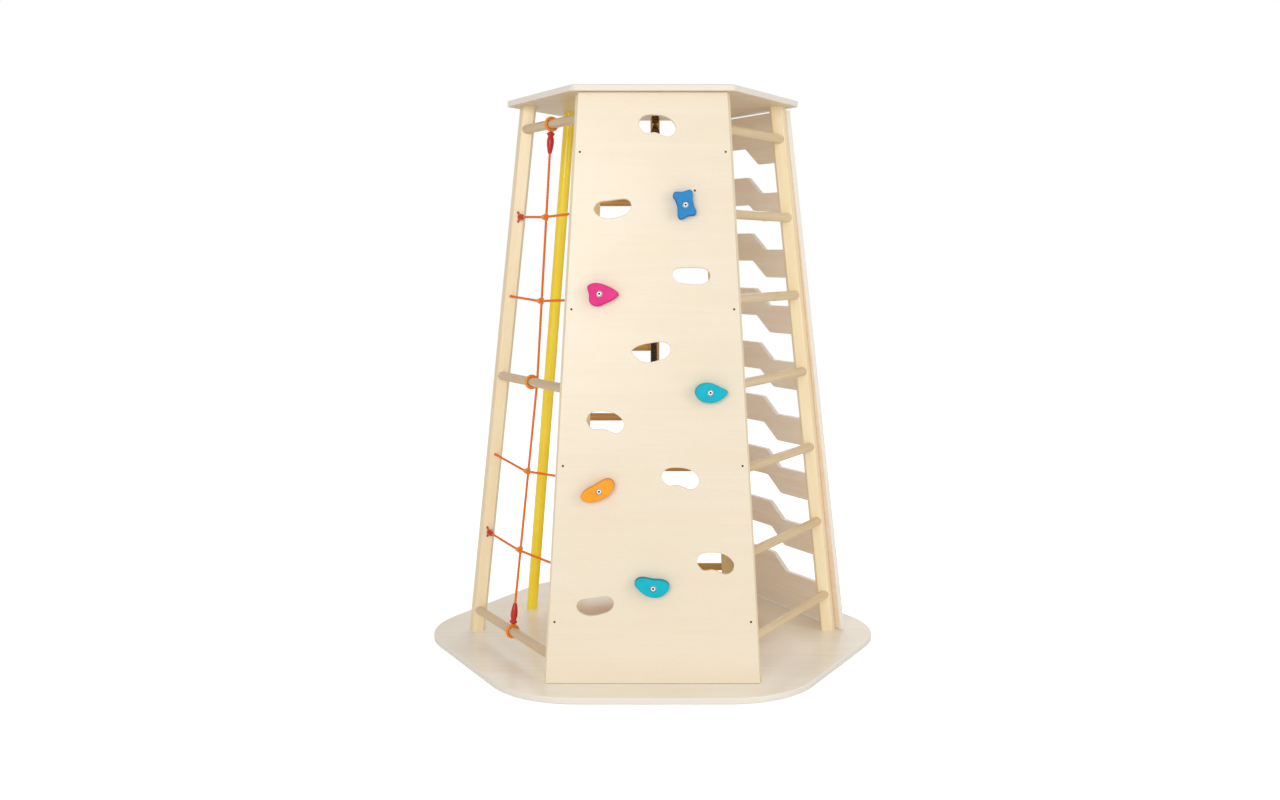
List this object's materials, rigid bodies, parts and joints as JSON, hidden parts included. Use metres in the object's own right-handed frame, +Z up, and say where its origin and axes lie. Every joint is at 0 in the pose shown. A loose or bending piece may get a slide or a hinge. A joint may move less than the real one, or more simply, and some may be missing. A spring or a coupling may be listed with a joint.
{
  "type": "climbing tower",
  "caption": "Tapering hexagonal wooden climbing tower for toddlers with a climbing wall, rung ladder, stepped board, rope net, pole, rung lanes and a swivelling rope.",
  "frame": {"origin": "bottom centre of the base plate, on the floor", "axes": "+Z up; -Y towards the climbing wall; +X to the right of someone who faces the climbing wall"},
  "size_m": [1.3876, 1.2766, 1.668],
  "materials": {
    "birch_plywood": "clear satin lacquer",
    "birch_timber": "clear satin lacquer",
    "birch_dowel": "clear satin lacquer",
    "yellow_wood": "yellow stain under lacquer",
    "orange_rope": "braided",
    "orange_plastic": "satin moulded",
    "red_plastic": "gloss moulded",
    "blue_resin": "fine-textured",
    "pink_resin": "fine-textured",
    "orange_resin": "fine-textured",
    "teal_resin": "fine-textured",
    "zinc_steel": "bright zinc",
    "dark_screws": "blackened",
    "bronzed_steel": "dark bronze, glossy",
    "dark_rope": "braided"
  },
  "bodies": {
    "tower": {"base_plate": "birch_plywood", "base_plate_screws": "zinc_steel", "bracket_screws": "bronzed_steel", "ceiling_bracket": "bronzed_steel", "climbing_wall": "birch_plywood", "climbing_wall_screws": "dark_screws", "hold_blue": "blue_resin", "hold_bolts": "zinc_steel", "hold_orange": "orange_resin", "hold_pink": "pink_resin", "hold_teal_moon": "teal_resin", "hold_teal_shell": "teal_resin", "hold_tee_nuts": "zinc_steel", "hold_washers": "zinc_steel", "ladder_rung_1": "birch_dowel", "ladder_rung_2": "birch_dowel", "ladder_rung_3": "birch_dowel", "ladder_rung_4": "birch_dowel", "ladder_rung_5": "birch_dowel", "ladder_rung_6": "birch_dowel", "ladder_rung_7": "birch_dowel", "net_clip_bottom": "orange_plastic", "net_clip_middle": "orange_plastic", "net_clip_top": "orange_plastic", "net_crimp_bottom": "red_plastic", "net_crimp_top": "red_plastic", "net_cross_clips": "orange_plastic", "net_cross_rope_1": "orange_rope", "net_cross_rope_2": "orange_rope", "net_cross_rope_3": "orange_rope", "net_cross_rope_4": "orange_rope", "net_dowel_bottom": "birch_dowel", "net_dowel_middle": "birch_dowel", "net_dowel_top": "birch_dowel", "net_side_crimps": "red_plastic", "net_upright_rope": "orange_rope", "pole": "yellow_wood", "post_back_left": "birch_timber", "post_back_right": "birch_timber", "post_front_left": "birch_timber", "post_front_right": "birch_timber", "post_left": "birch_timber", "post_right": "birch_timber", "rear_rungs_left": "birch_dowel", "rear_rungs_right": "birch_dowel", "rear_upright": "birch_timber", "step_board": "birch_plywood", "step_board_screws": "dark_screws", "sway_pin": "bronzed_steel", "top_plate": "birch_plywood", "top_plate_screws": "zinc_steel"},
    "hanger_link": {"hanger_link": "bronzed_steel"},
    "swivel_block": {"swivel_block": "bronzed_steel", "swing_pin": "bronzed_steel"},
    "climbing_rope": {"rope_cup": "bronzed_steel", "climbing_rope": "dark_rope", "rope_end_knot": "dark_rope"}
  },
  "joints": [
    {"name": "rope_sway", "type": "hinge", "parent": "tower", "child": "hanger_link", "pos_m": [0.008, 0, 1.636], "axis": [0, 1, 0], "range_deg": [-12, 12]},
    {"name": "rope_swing", "type": "hinge", "parent": "hanger_link", "child": "swivel_block", "pos_m": [0.008, 0, 1.618], "axis": [1, 0, 0], "range_deg": [-12, 12]},
    {"name": "rope_swivel", "type": "hinge", "parent": "swivel_block", "child": "climbing_rope", "pos_m": [0.008, 0, 1.6], "axis": [0, 0, 1], "continuous": true}
  ]
}
